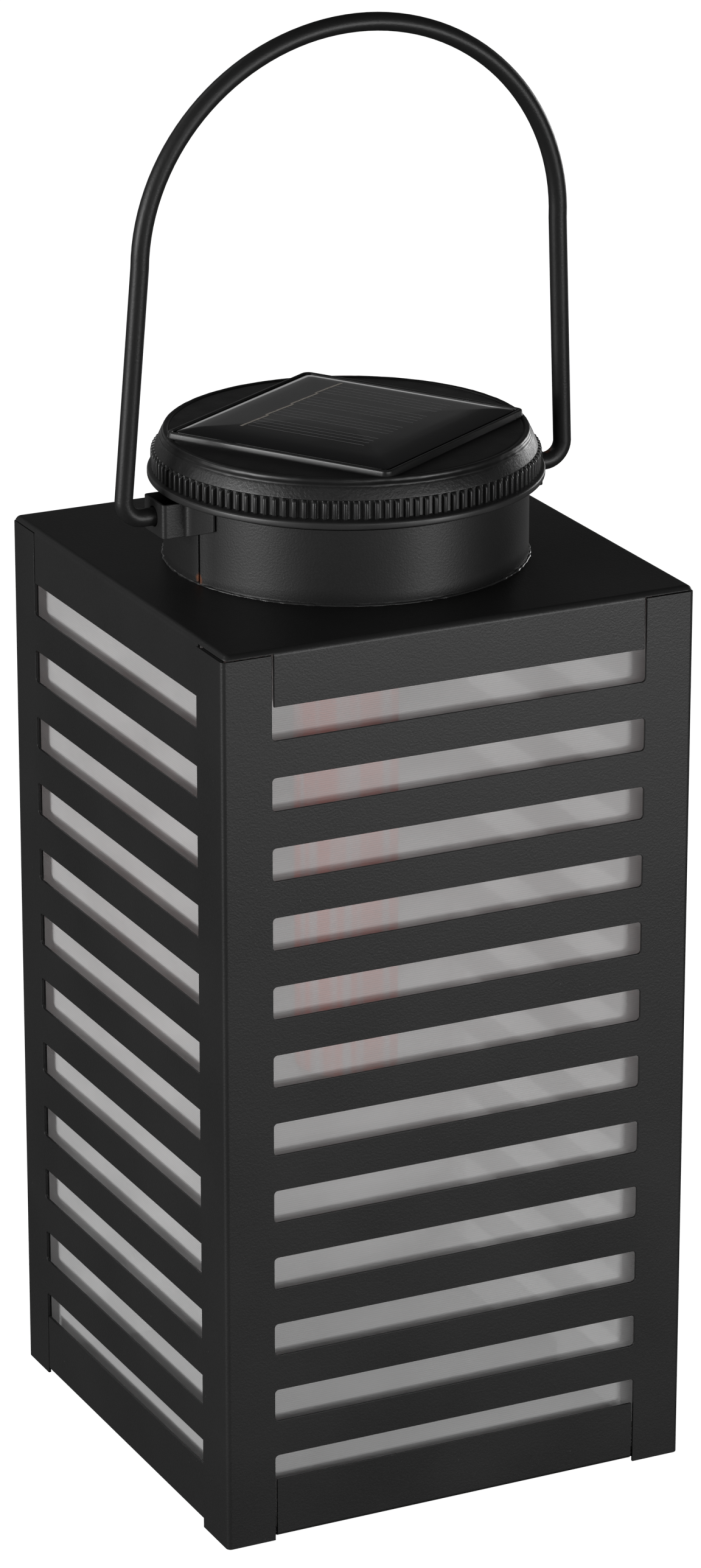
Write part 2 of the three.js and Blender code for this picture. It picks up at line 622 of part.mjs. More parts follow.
const BOARD_TOP = BOARD_Z + BOARD.t + GAP;
const controllerChip = box(-5, 3, 6, 12, BOARD_TOP, BOARD_TOP + 1.6);
const chokeCoil = rod(3.6, -12, 14, BOARD_TOP, BOARD_TOP + 4.5);
const capacitor = rod(2.5, 12, 20, BOARD_TOP, BOARD_TOP + 7);

function boardScrew([x, y]) {
  const head = rod(2.2, x, y, BOARD_TOP, BOARD_TOP + 1.6);
  return surface(union(head, rod(0.9, x, y, BOARD_TOP - 6, BOARD_TOP + 1, 10)));
}

function switchBody() {
  return box(-6, 6, SWITCH_Y - 3.2, SWITCH_Y + 3.2, INNER_FLOOR + GAP + 0.6, INNER_FLOOR + 6);
}

// At rest the knob stands at the off end of its slot.
function switchKnob() {
  return box(-3.4, -0.4, SWITCH_Y - 1.4, SWITCH_Y + 1.4, HOUSING_FLOOR - 1.6, INNER_FLOOR + 0.6);
}

// ---- lamp ---------------------------------------------------------------------------------------
function lampTube() {
  return tube(LAMP_R, LAMP_R - LAMP_WALL, LAMP_BOTTOM + 3, HOUSING_FLOOR - GAP, 32);
}

function lampTip() {
  const seat = LAMP_BOTTOM + 3 - GAP;
  const plug = LAMP_R - LAMP_WALL - GAP;
  return turned([[0, LAMP_BOTTOM], [LAMP_R - 1.5, LAMP_BOTTOM], [LAMP_R, LAMP_BOTTOM + 1.5], [LAMP_R, seat],
    [plug, seat], [plug, seat + 4], [0, seat + 4]], 24);
}

function lampCore() {
  const r = LED_SHEET_R - 0.4 - GAP;
  return tube(r, r - 1.2, LAMP_BOTTOM + 9, HOUSING_FLOOR - 1, 24);
}

// A flexible circuit rolled into a cylinder, with columns of light-emitting chips on its outside.
function ledSheet() {
  const roll = tube(LED_SHEET_R, LED_SHEET_R - 0.4, LAMP_BOTTOM + 10, HOUSING_FLOOR - 4, LED_COLUMNS * 2);
  const low = LAMP_BOTTOM + 16;
  const pitch = (HOUSING_FLOOR - 12 - low) / (LED_ROWS - 1);
  let sheet = solid(roll);
  for (let column = 0; column < LED_COLUMNS; column += 1) {
    for (let row = 0; row < LED_ROWS; row += 1) {
      const z = low + row * pitch;
      const chip = box(LED_SHEET_R - 0.3, LED_SHEET_R + 1, -1.4, 1.4, z - 1.8, z + 1.8);
      sheet = sheet.add(solid(chip.rotateZ((2 * Math.PI * (column + 0.5)) / LED_COLUMNS)));
    }
  }
  return surface(sheet);
}

// ---- wires inside the cap -----------------------------------------------------------------------
function lead(points) {
  const curve = new THREE.CatmullRomCurve3(points.map((p) => new THREE.Vector3(...p)));
  return roundWire(curve, points.length * 3, 0.6, 5);
}

const boardUnder = BOARD_Z - GAP;
const leadHole = new THREE.Vector3(0, 10, 0).applyAxisAngle(new THREE.Vector3(0, 0, 1), PANEL_TURN);
const panelLead = (dx) => lead([
  [leadHole.x + dx, leadHole.y, POCKET_FLOOR - 0.3],
  [leadHole.x + dx, leadHole.y + 0.5, POCKET_FLOOR - 6],
  [leadHole.x + dx, leadHole.y + 3, BOARD_TOP + 6],
  [leadHole.x + dx, leadHole.y + 5, BOARD_TOP + 0.4],
]);
const batteryLead = (side) => lead([
  [side * (BAY.x - 0.45), BATTERY_Y, BAY.top + 4.6],
  [side * (BAY.x - 0.6), BATTERY_Y + 3, BOARD_TOP + 2],
  [side * (BAY.x - 5), BATTERY_Y + 12, BOARD_TOP + 5],
  [side * 19.5, BOARD.y0 + 9.5, BOARD_TOP + 0.4],
]);
const lampLead = (x) => lead([
  [x, 3, boardUnder - 0.4],
  [x, 1.5, boardUnder - 8],
  [x * 1.6, 0, HOUSING_FLOOR + 4],
  [x * 1.8, 0, HOUSING_FLOOR - 8],
]);

// ---- assembly -----------------------------------------------------------------------------------
const lantern = new THREE.Group();
const frame = new THREE.Group();
const solarCap = new THREE.Group();
const lamp = new THREE.Group();
solarCap.add(lamp);
lantern.add(frame, solarCap);

function place(parent, name, geometry, material) {
  const mesh = new THREE.Mesh(geometry, material);
  mesh.name = name;
  parent.add(mesh);
}

place(frame, 'body_shell', bodyShell(), paint);
place(frame, 'lid', lid(), paint);
place(frame, 'base_tray', baseTray(), paint);
place(frame, 'diffuser_liner', liner(), frosted);
place(frame, 'collar', collar(), paint);
place(frame, 'collar_bead', collarBead(), blackPlastic);
place(frame, 'bracket_left', bracket(-1), paint);
place(frame, 'bracket_right', bracket(1), paint);
place(lantern, 'handle', handle(), paint);

const sealRing = tube(COLLAR_R - 0.2, HOUSING_R + 0.5, COLLAR_TOP + GAP, FLANGE_Z - GAP, 48);
place(solarCap, 'seal_ring', sealRing, rubber);
place(solarCap, 'cap_cover', capCover(), blackPlastic);
place(solarCap, 'solar_backing', solarBacking(), chipBlack);
for (let k = 0; k < CELLS; k += 1) place(solarCap, `solar_cell_${k + 1}`, solarCell(k), silicon);
place(solarCap, 'cell_ribbon', cellRibbon(), steel);
place(solarCap, 'resin_dome', resinDome(), resin);
place(solarCap, 'lower_housing', lowerHousing(), blackPlastic);
BOSSES.forEach((boss, k) => place(solarCap, `housing_screw_${k + 1}`, housingScrew(boss), steel));
place(solarCap, 'battery', battery(), batteryWrap);
place(solarCap, 'battery_spring', batterySpring(), steel);
place(solarCap, 'battery_plate', batteryPlate(1), steel);
place(solarCap, 'battery_cover', batteryCover(), blackPlastic);
place(solarCap, 'battery_cover_screw', batteryCoverScrew(), steel);
place(solarCap, 'circuit_board', circuitBoard(), boardGreen);
place(solarCap, 'controller_chip', controllerChip, chipBlack);
place(solarCap, 'choke_coil', chokeCoil, chipBlack);
place(solarCap, 'capacitor', capacitor, steel);
STANDOFFS.slice(0, 2).forEach((post, k) => place(solarCap, `board_screw_${k + 1}`, boardScrew(post), steel));
place(solarCap, 'switch_body', switchBody(), steel);
place(solarCap, 'switch_knob', switchKnob(), blackPlastic);
place(solarCap, 'panel_lead_red', panelLead(1.4), redWire);
place(solarCap, 'panel_lead_black', panelLead(-1.4), blackWire);
place(solarCap, 'battery_lead_red', batteryLead(1), redWire);
place(solarCap, 'battery_lead_black', batteryLead(-1), blackWire);
place(solarCap, 'lamp_lead_red', lampLead(2.4), redWire);
place(solarCap, 'lamp_lead_black', lampLead(-2.4), blackWire);
place(lamp, 'lamp_tube', lampTube(), frosted);
place(lamp, 'lamp_tip', lampTip(), frosted);
place(lamp, 'lamp_core', lampCore(), frosted);
place(lamp, 'led_sheet', ledSheet(), phosphor);

export default lantern;
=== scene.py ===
"""Solar lantern: the looks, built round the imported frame. Lengths below are millimetres unless said."""
import math

import bmesh
import bpy
from mathutils import Matrix, Vector, noise


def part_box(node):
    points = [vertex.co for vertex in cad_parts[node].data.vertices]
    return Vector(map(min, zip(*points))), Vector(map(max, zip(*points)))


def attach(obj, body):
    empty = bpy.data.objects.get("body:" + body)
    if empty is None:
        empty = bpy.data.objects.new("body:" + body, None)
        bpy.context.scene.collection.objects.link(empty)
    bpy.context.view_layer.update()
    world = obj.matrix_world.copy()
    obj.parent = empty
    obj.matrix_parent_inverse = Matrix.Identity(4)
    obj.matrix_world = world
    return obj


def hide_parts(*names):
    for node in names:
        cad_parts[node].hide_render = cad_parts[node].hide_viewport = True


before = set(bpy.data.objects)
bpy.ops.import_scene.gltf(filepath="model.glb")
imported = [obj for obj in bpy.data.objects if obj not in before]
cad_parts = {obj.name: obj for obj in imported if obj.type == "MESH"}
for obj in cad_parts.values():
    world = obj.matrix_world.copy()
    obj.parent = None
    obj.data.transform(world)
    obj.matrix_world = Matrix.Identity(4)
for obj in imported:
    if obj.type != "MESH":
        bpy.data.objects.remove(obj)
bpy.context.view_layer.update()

MM = 0.001


# ---- sizes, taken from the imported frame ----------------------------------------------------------
def low(node, axis):
    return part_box(node)[0][axis] / MM


def high(node, axis):
    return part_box(node)[1][axis] / MM


HALF = high("body_shell", 0)                  # half width over the corner posts
LEFT_FACE = low("lid", 0)                     # the left panel lies one sheet deeper
SHEET = HALF + LEFT_FACE
POST_TOP = high("body_shell", 2)
LID_TOP = high("lid", 2)
SKIRT_BOTTOM = low("lid", 2)
TRAY_BOTTOM = low("base_tray", 2)
TRAY_TOP = high("base_tray", 2)
COLLAR_R = high("collar", 0)
COLLAR_TOP = high("collar", 2)
FLANGE_R = high("cap_cover", 0)
CAP_HEIGHT = 14.5                             # from the cap's flange up to the rim of the panel's seat
FLANGE_Z = high("cap_cover", 2) - CAP_HEIGHT
PIVOT_RISE = 0.1                              # the wire's hole lies this far above a bracket's middle
PIVOT_Z = (low("bracket_left", 2) + high("bracket_left", 2)) / 2 + PIVOT_RISE
BOSS_X = high("bracket_right", 0)
BRACKET_Z = (low("bracket_left", 2), high("bracket_left", 2))
LINER = high("diffuser_liner", 0)
LINER_Z = (low("diffuser_liner", 2), high("diffuser_liner", 2))
WIRE_R = 2.5
LEG_X = high("handle", 0) - WIRE_R
LAMP_R = high("lamp_tube", 0)
LAMP_Z = (low("lamp_tube", 2), high("lamp_tube", 2))

GAP = 0.3
FOLD_R = 1.4
NOTCH = 55.5                                  # half width of a slot
PAN_CORNER = 2.1                              # corner radius of the lid and the tray
LAP_EDGE = -HALF + 16                         # edge of the welded lap on the left face
SLOTS = 12
SLOT_PITCH = 19.6
SLOT_H = 9.3
SLOT_R = 1.1
DISC_R = 50.0
DISC_Z = FLANGE_Z + 13.0
RIB_R = FLANGE_R - 1.0
RIBS = 120
PANEL_TURN = math.radians(32)
SEAM = math.radians(192)


# ---- mesh helpers --------------------------------------------------------------------------------
class Sheet:
    """A mesh whose faces share corners wherever their coordinates agree."""

    def __init__(self):
        self.bm = bmesh.new()
        self.known = {}

    def corner(self, point):
        key = tuple(round(c, 4) for c in point)
        if key not in self.known:
            self.known[key] = self.bm.verts.new([c * MM for c in point])
        return self.known[key]

    def face(self, points):
        corners = []
        for point in points:
            corner = self.corner(point)
            if corner not in corners:
                corners.append(corner)
        if len(corners) > 2 and not self.bm.faces.get(corners):
            return self.bm.faces.new(corners)
        return None

    def rows(self, rows, closed=False):
        """Quads between neighbouring rows of points."""
        for lower, upper in zip(rows, rows[1:]):
            count = len(lower)
            for i in range(count if closed else count - 1):
                j = (i + 1) % count
                self.face([lower[i], lower[j], upper[j], upper[i]])

    def ring_fill(self, outer, inner):
        """Flat face between two loops."""
        edges = []
        for loop in (outer, inner):
            corners = [self.corner(p) for p in loop]
            for a, b in zip(corners, corners[1:] + corners[:1]):
                edge = self.bm.edges.get((a, b))
                edges.append(edge or self.bm.edges.new((a, b)))
        bmesh.ops.triangle_fill(self.bm, use_beauty=True, use_dissolve=False, edges=edges)


def face_away(bm, inside):
    """Turn every face of an open sheet away from a point inside it."""
    for face in bm.faces:
        face.normal_update()
        if face.normal.dot(face.calc_center_median() - Vector(inside) * MM) < 0:
            face.normal_flip()


def piece(name, bm, body, material, replaces=(), inside=None):
    """A smooth-shaded object that rides on a body; inside is a point that its faces turn away from."""
    mesh = bpy.data.meshes.new(name)
    if inside:
        face_away(bm, inside)
    else:
        bmesh.ops.recalc_face_normals(bm, faces=bm.faces)
    bm.to_mesh(mesh)
    bm.free()
    mesh.polygons.foreach_set("use_smooth", [True] * len(mesh.polygons))
    mesh.materials.append(material)
    obj = bpy.data.objects.new(name, mesh)
    bpy.context.collection.objects.link(obj)
    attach(obj, body)
    if replaces:
        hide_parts(*replaces)
    return obj


def thicken(obj, thickness):
    """Give an open sheet its thickness, on the inner side."""
    modifier = obj.modifiers.new("thickness", "SOLIDIFY")
    modifier.thickness = thickness * MM
    modifier.offset = -1.0
    modifier.use_even_offset = True


def soften(obj, width, segments=2, angle=34):
    """Round the sharp edges and keep flat faces shading flat."""
    modifier = obj.modifiers.new("round_edges", "BEVEL")
    modifier.width = width * MM
    modifier.segments = segments
    modifier.limit_method = "ANGLE"
    modifier.angle_limit = math.radians(angle)
    modifier.use_clamp_overlap = True
    weighted = obj.modifiers.new("flat_shading", "WEIGHTED_NORMAL")
    weighted.keep_sharp = True


def arc(cx, cy, r, start, stop, steps):
    """Points on an arc, angles in degrees."""
    points = []
    for i in range(steps + 1):
        a = math.radians(start + (stop - start) * i / steps)
        points.append((cx + r * math.cos(a), cy + r * math.sin(a)))
    return points


def rounded_square(half, r, steps=6):
    r = max(r, 0.01)
    points = []
    for k, (sx, sy) in enumerate(((1, -1), (1, 1), (-1, 1), (-1, -1))):
        points += arc(sx * (half - r), sy * (half - r), r, -90 + 90 * k, 90 * k, steps)
    return points


def lathe(profile, segments):
    sheet = Sheet()
    rings = []
    for r, z in profile:
        ring = []
        for i in range(segments):
            a = 2 * math.pi * i / segments
            ring.append((r * math.cos(a), r * math.sin(a), z))
        rings.append(ring if r > 0.001 else [(0, 0, z)] * segments)
    sheet.rows(rings, closed=True)
    return sheet


def profile_curve(points, r, steps=4):
    """A [radius, height] profile with its inner corners rounded off."""
    out = [points[0]]
    for before, at, after in zip(points, points[1:], points[2:]):
        p = Vector(at)
        a = Vector(before) - p
        b = Vector(after) - p
        reach = min(r, a.length * 0.45, b.length * 0.45)
        start = p + a.normalized() * reach
        stop = p + b.normalized() * reach
        for i in range(steps + 1):
            t = i / steps
            out.append(tuple(start * (1 - t) ** 2 + p * 2 * t * (1 - t) + stop * t * t))
    out.append(points[-1])
    return out


# ---- materials -----------------------------------------------------------------------------------
class Nodes:
    """A material's node tree, with short calls for what the finishes below share."""

    def __init__(self, name):
        self.material = bpy.data.materials.new(name)
        self.material.use_nodes = True
        self.tree = self.material.node_tree
        self.shader = self.tree.nodes["Principled BSDF"]
        self.place = self.tree.nodes.new("ShaderNodeTexCoord").outputs["Object"]

    def add(self, kind, **values):
        node = self.tree.nodes.new(kind)
        for key, value in values.items():
            if key in node.inputs:
                node.inputs[key].default_value = value
            else:
                setattr(node, key, value)
        return node

    def link(self, source, target):
        self.tree.links.new(source, target)

    def noise(self, size, detail=2.0, roughness=0.5, stretch=None):
        """Noise whose features are about so many millimetres, squeezed along each axis by stretch."""
        node = self.add("ShaderNodeTexNoise")
        node.inputs["Scale"].default_value = 1000.0 / size
        node.inputs["Detail"].default_value = detail
        node.inputs["Roughness"].default_value = roughness
        source = self.place
        if stretch:
            scaled = self.add("ShaderNodeVectorMath", operation="MULTIPLY")
            self.link(source, scaled.inputs[0])
            scaled.inputs[1].default_value = stretch
            source = scaled.outputs[0]
        self.link(source, node.inputs["Vector"])
        return node.outputs["Fac"]

    def ramp(self, source, *stops):
        node = self.add("ShaderNodeValToRGB")
        ramp = node.color_ramp
        while len(ramp.elements) < len(stops):
            ramp.elements.new(0.5)
        for element, (place, value) in zip(ramp.elements, stops):
            element.position = place
            element.color = (value, value, value, 1) if isinstance(value, float) else (*value, 1)
        self.link(source, node.inputs["Fac"])
        return node.outputs["Color"]

    def mix(self, factor, a, b):
        node = self.add("ShaderNodeMix", data_type="RGBA")
        for source, socket in ((factor, 0), (a, 6), (b, 7)):
            if isinstance(source, bpy.types.NodeSocket):
                self.link(source, node.inputs[socket])
            elif socket == 0:
                node.inputs[0].default_value = source
            else:
                node.inputs[socket].default_value = (*source, 1)
        return node.outputs[2]

    def maths(self, kind, a, b):
        node = self.add("ShaderNodeMath", operation=kind)
        for socket, source in enumerate((a, b)):
            if isinstance(source, bpy.types.NodeSocket):
                self.link(source, node.inputs[socket])
            else:
                node.inputs[socket].default_value = source
        return node.outputs[0]

    def bump(self, height, depth, strength=1.0, under=None):
        node = self.add("ShaderNodeBump")
        node.inputs["Strength"].default_value = strength
        node.inputs["Distance"].default_value = depth * MM
        self.link(height, node.inputs["Height"])
        if under is not None:
            self.link(under, node.inputs["Normal"])
        return node.outputs["Normal"]

    def put(self, **values):
        """Set or link the shader's own sockets, by name with _ for a space."""
        for key, value in values.items():
            socket = self.shader.inputs[key.replace("_", " ")]
            if isinstance(value, bpy.types.NodeSocket):
                self.link(value, socket)
            elif isinstance(value, tuple):
                socket.default_value = (*value, 1)
            else:
                socket.default_value = value
        return self.material


def powder_coat(name, tone=0.0145, rust=None):
    """Black powder coat: fine orange-peel grain, faint clouding, stray pale specks, optional rust."""
    n = Nodes(name)
    cloud = n.noise(42, 3)
    grain = n.noise(0.55, 2, 0.6)
    colour = n.ramp(cloud, (0.3, (tone * 0.86,) * 3), (0.7, (tone * 1.1,) * 3))
    fleck = n.ramp(grain, (0.3, 0.0), (0.72, 1.0))
    colour = n.mix(n.maths("MULTIPLY", fleck, 0.35), colour, (tone * 1.7,) * 3)
    dust = n.add("ShaderNodeTexVoronoi")
    dust.inputs["Scale"].default_value = 1000 / 7.5
    n.link(n.place, dust.inputs["Vector"])
    speck = n.ramp(dust.outputs["Distance"], (0.0, 1.0), (0.035, 0.0))
    colour = n.mix(n.maths("MULTIPLY", speck, 0.3), colour, (0.2, 0.2, 0.2))
    if rust:
        for x, y, z, size in rust:
            offset = n.add("ShaderNodeVectorMath", operation="DISTANCE")
            n.link(n.place, offset.inputs[0])
            offset.inputs[1].default_value = (x * MM, y * MM, z * MM)
            ragged = n.maths("MULTIPLY_ADD", n.noise(0.9, 3), 0.0016)
            ragged.node.inputs[2].default_value = -0.0008
            reach = n.maths("ADD", offset.outputs["Value"], ragged)
            spot = n.ramp(n.maths("DIVIDE", reach, size * MM), (0.6, 1.0), (1.0, 0.0))
            colour = n.mix(n.maths("MULTIPLY", spot, 0.8), colour, (0.16, 0.055, 0.022))
    roughness = n.ramp(cloud, (0.2, 0.38), (0.8, 0.47))
    normal = n.bump(n.noise(120, 2), 0.5, 0.25)
    normal = n.bump(grain, 0.06, 0.7, normal)
    return n.put(Base_Color=colour, Roughness=roughness, Specular_IOR_Level=0.28, Normal=normal)


def moulded(name, tone=0.012, roughness=0.36, grain=0.0, size=0.5, gloss=0.4):
    """Moulded black plastic, from smooth satin to a coarse spark-eroded grain."""
    n = Nodes(name)
    cloud = n.noise(18, 3)
    colour = n.ramp(cloud, (0.3, (tone * 0.9,) * 3), (0.75, (tone * 1.15,) * 3))
    rough = n.ramp(n.noise(6, 4), (0.25, roughness - 0.05), (0.8, roughness + 0.08))
    normal = n.bump(n.noise(9, 2), 0.12, 0.2)
    if grain:
        normal = n.bump(n.noise(size, 3, 0.6), grain, 0.9, normal)
    else:
        normal = n.bump(n.noise(0.35, 2), 0.012, 0.5, normal)
    return n.put(Base_Color=colour, Roughness=rough, Specular_IOR_Level=gloss, Normal=normal)


def cast_resin():
    n = Nodes("cast_resin")
    depth = n.noise(60, 2)
    colour = n.ramp(depth, (0.3, (0.0042, 0.0042, 0.0048)), (0.8, (0.0065, 0.0065, 0.0072)))
    dust = n.add("ShaderNodeTexVoronoi")
    dust.inputs["Scale"].default_value = 1000 / 6.0
    n.link(n.place, dust.inputs["Vector"])
    speck = n.ramp(dust.outputs["Distance"], (0.0, 1.0), (0.03, 0.0))
    colour = n.mix(n.maths("MULTIPLY", speck, 0.35), colour, (0.1, 0.1, 0.1))
    rough = n.ramp(n.noise(14, 4), (0.3, 0.07), (0.8, 0.14))
    return n.put(Base_Color=colour, Roughness=rough, Coat_Weight=0.6, Coat_Roughness=0.05,
                 Normal=n.bump(n.noise(30, 2), 0.25, 0.25))


def tinned(name, tone=(0.42, 0.38, 0.33), metallic=0.7):
    n = Nodes(name)
    mottle = n.noise(1.1, 4, 0.6)
    dark = tuple(c * 0.55 for c in tone)
    colour = n.ramp(mottle, (0.3, dark), (0.7, tone))
    rough = n.ramp(mottle, (0.3, 0.5), (0.8, 0.3))
    return n.put(Base_Color=colour, Roughness=rough, Metallic=metallic, Normal=n.bump(mottle, 0.03, 0.5))


def plain(name, tone, roughness, metallic=0.0, size=1.2, depth=0.02):
    """A finish for inner pieces: slight mottling and grain of its own."""
    n = Nodes(name)
    mottle = n.noise(size * 6, 3)
    grain = n.noise(size, 3, 0.6)
    dark = tuple(c * 0.82 for c in tone)
    light = tuple(min(1, c * 1.12) for c in tone)
    colour = n.ramp(mottle, (0.25, dark), (0.75, light))
    rough = n.ramp(grain, (0.2, max(0.04, roughness - 0.06)), (0.8, roughness + 0.08))
    return n.put(Base_Color=colour, Roughness=rough, Metallic=metallic, Normal=n.bump(grain, depth, 0.6))


def frosted_sheet(name, tone, see_through, line=0.6, streak=None):
    """Frosted plastic sheet with fine drawn lines across it, partly clear from its outer side.

    streak tints it in upright bands.
    """
    n = Nodes(name)
    wave = n.add("ShaderNodeTexWave", wave_type="BANDS", bands_direction="Z")
    wave.inputs["Scale"].default_value = 100 * math.pi / line
    wave.inputs["Distortion"].default_value = 0.6
    wave.inputs["Detail"].default_value = 1.0
    n.link(n.place, wave.inputs["Vector"])
    cloud = n.noise(35, 3)
    dark = tuple(c * 0.94 for c in tone)
    light = tuple(min(1, c * 1.05) for c in tone)
    colour = n.ramp(cloud, (0.3, dark), (0.7, light))
    if streak:
        bands = n.ramp(n.noise(4.2, 2, 0.5, (1, 1, 0.03)), (0.36, 0.0), (0.48, 1.0))
        colour = n.mix(bands, colour, streak)
    lines = n.ramp(wave.outputs["Fac"], (0.25, 0.0), (0.75, 1.0))
    colour = n.mix(n.maths("MULTIPLY", lines, 0.22), colour, tuple(c * 0.72 for c in tone))
    normal = n.bump(wave.outputs["Fac"], 0.05, 0.4)
    n.put(Base_Color=colour, Roughness=n.ramp(cloud, (0.2, 0.42), (0.8, 0.52)), Normal=normal)
    translucent = n.add("ShaderNodeBsdfTranslucent")
    n.link(colour, translucent.inputs["Color"])
    clear = n.add("ShaderNodeBsdfTransparent")
    glow = n.add("ShaderNodeMixShader")
    glow.inputs[0].default_value = 0.42
    n.link(n.shader.outputs[0], glow.inputs[1])
    n.link(translucent.outputs[0], glow.inputs[2])
    both = n.add("ShaderNodeMixShader")
    outer = n.maths("SUBTRACT", 1.0, n.add("ShaderNodeNewGeometry").outputs["Backfacing"])
    n.link(n.maths("MULTIPLY", outer, see_through), both.inputs[0])
    n.link(glow.outputs[0], both.inputs[1])
    n.link(clear.outputs[0], both.inputs[2])
    path = n.add("ShaderNodeLightPath")
    lit = n.add("ShaderNodeMixShader")
    n.link(n.maths("MULTIPLY", path.outputs["Is Shadow Ray"], 0.42), lit.inputs[0])
    n.link(both.outputs[0], lit.inputs[1])
    n.link(n.add("ShaderNodeBsdfTransparent").outputs[0], lit.inputs[2])
    n.link(lit.outputs[0], n.tree.nodes["Material Output"].inputs["Surface"])
    return n.material


SEAM_FOOT = (COLLAR_R * math.cos(SEAM), COLLAR_R * math.sin(SEAM))
PAINT = powder_coat("powder_coat")
# The collar's paint is a shade darker than the body's (0.0125 against 0.0145), which is painted shade; the
# rust spot at the seam's foot is real rust.
SHADED_RUSTED_COLLAR_PAINT = powder_coat("powder_coat_collar_shaded_rusted", 0.0125, rust=[(*SEAM_FOOT, LID_TOP + 1.4, 1.9)])
WIRE_PAINT = powder_coat("powder_coat_wire", 0.011, rust=[(LEG_X - 4.5, 0.5, PIVOT_Z + 3.2, 1.6)])
SMOOTH_PLASTIC = moulded("moulded_smooth", 0.009, 0.38)
GRAINED_PLASTIC = moulded("moulded_grained", 0.009, 0.42, grain=0.12, size=0.85, gloss=0.45)
# The flange's plastic is toned about twice as light as the rest of the cap's: a painted sheen for the light
# its rim catches at a grazing angle.
FLANGE_PLASTIC_PAINTED_SHEEN = moulded("moulded_flange_painted_sheen", 0.02, 0.42)
RESIN = cast_resin()
RIBBON = tinned("tinned_ribbon", (0.85, 0.78, 0.7), 0.0)
FINGERS = plain("printed_fingers", (0.42, 0.42, 0.43), 0.16, 0.0)
LINER_SHEET = frosted_sheet("frosted_liner", (0.84, 0.84, 0.84), 0.32)
TUBE_SHEET = frosted_sheet("frosted_tube", (0.78, 0.8, 0.83), 0.04, line=0.9, streak=(1.0, 0.3, 0.22))


# ---- folded body ---------------------------------------------------------------------------------
def slot_span(k):
    top = SKIRT_BOTTOM - k * SLOT_PITCH
    return top - SLOT_H, top


def post_edge(u, side):
    """Inner outline of a corner post from the bottom up: side is +1 where the slots lie at greater u."""
    r = SLOT_R
    line = [(u, 0.0)]
    for k in range(SLOTS - 1, -1, -1):
        bottom, top = slot_span(k)
        if k < SLOTS - 1:
            turn = arc(u + side * r, bottom + r, r, 270, 180 if side > 0 else 360, 6)
            line += turn
        if k > 0:
            start = 180 if side > 0 else 0
            line += arc(u + side * r, top - r, r, start, 90, 6)
    line.append((u, POST_TOP))
    return line


def slotted_panel(sheet, place, u0, u1):
    """A flat panel in (u, height), its slots between -NOTCH and NOTCH; place maps it into space."""
    left = post_edge(-NOTCH, 1)
    right = post_edge(NOTCH, -1)
    sheet.face([place(u0, 0.0)] + [place(*p) for p in left] + [place(u0, POST_TOP)])
    sheet.face([place(u1, POST_TOP)] + [place(*p) for p in reversed(right)] + [place(u1, 0.0)])
    for k in range(SLOTS - 1):
        upper = slot_span(k)[0]
        lower = slot_span(k + 1)[1]
        a, b = -NOTCH + SLOT_R, NOTCH - SLOT_R
        sheet.face([place(a, lower), place(b, lower), place(b, upper), place(a, upper)])


def fold(sheet, cx, cy, start, bottom, top):
    """A quarter-turn fold about (cx, cy), from an angle in degrees."""
    points = arc(cx, cy, FOLD_R, start, start + 90, 8)
    sheet.rows([[(x, y, bottom) for x, y in points], [(x, y, top) for x, y in points]])


def body_sheet():
    sheet = Sheet()
    inset = HALF - FOLD_R
    left_inset = LEFT_FACE + FOLD_R
    lap = [(-HALF, LAP_EDGE), (-HALF, -inset)]
    sheet.face([(*lap[0], 0), (*lap[1], 0), (*lap[1], POST_TOP), (*lap[0], POST_TOP)])
    fold(sheet, -inset, -inset, 180, 0, POST_TOP)
    slotted_panel(sheet, lambda u, z: (u, -HALF, z), -inset, inset)
    fold(sheet, inset, -inset, 270, 0, POST_TOP)
    slotted_panel(sheet, lambda u, z: (HALF, u, z), -inset, inset)
    fold(sheet, inset, inset, 0, 0, POST_TOP)
    slotted_panel(sheet, lambda u, z: (-u, HALF, z), -inset, -left_inset)
    fold(sheet, left_inset, inset, 90, 0, POST_TOP)
    slotted_panel(sheet, lambda u, z: (LEFT_FACE, -u, z), -inset, HALF - 1.7)
    obj = piece("body_sheet", sheet.bm, "lantern_body", PAINT, ["body_shell"])
    thicken(obj, SHEET)
    soften(obj, 0.16)


# ---- lid and base tray ---------------------------------------------------------------------------
def pan_path(corner_r):
    """Outline of a pan, counter-clockwise: (x, y, outward x, outward y, in a skirt's stretch)."""
    path = []
    edge = NOTCH - 2 * GAP
    lap = -LAP_EDGE - 2 * GAP
    sides = (
        ((0, -1), (1, 0), HALF, -edge, edge),
        ((1, 0), (0, 1), HALF, -edge, edge),
        ((0, 1), (-1, 0), HALF, -edge, edge),
        ((-1, 0), (0, -1), -LEFT_FACE, -edge, lap),
    )
    corners = ((HALF, -HALF), (HALF, HALF), (LEFT_FACE, HALF), (LEFT_FACE, -HALF))
    for k, (out, along, reach, start, stop) in enumerate(sides):
        for u in (start, stop):
            path.append((out[0] * reach + along[0] * u, out[1] * reach + along[1] * u, *out, u == start))
        x, y = corners[k]
        cx = x - math.copysign(corner_r, x)
        cy = y - math.copysign(corner_r, y)
        for px, py in arc(cx, cy, corner_r, -90 + 90 * k, 90 * k, 6):
            path.append((px, py, (px - cx) / corner_r, (py - cy) / corner_r, False))
    return path


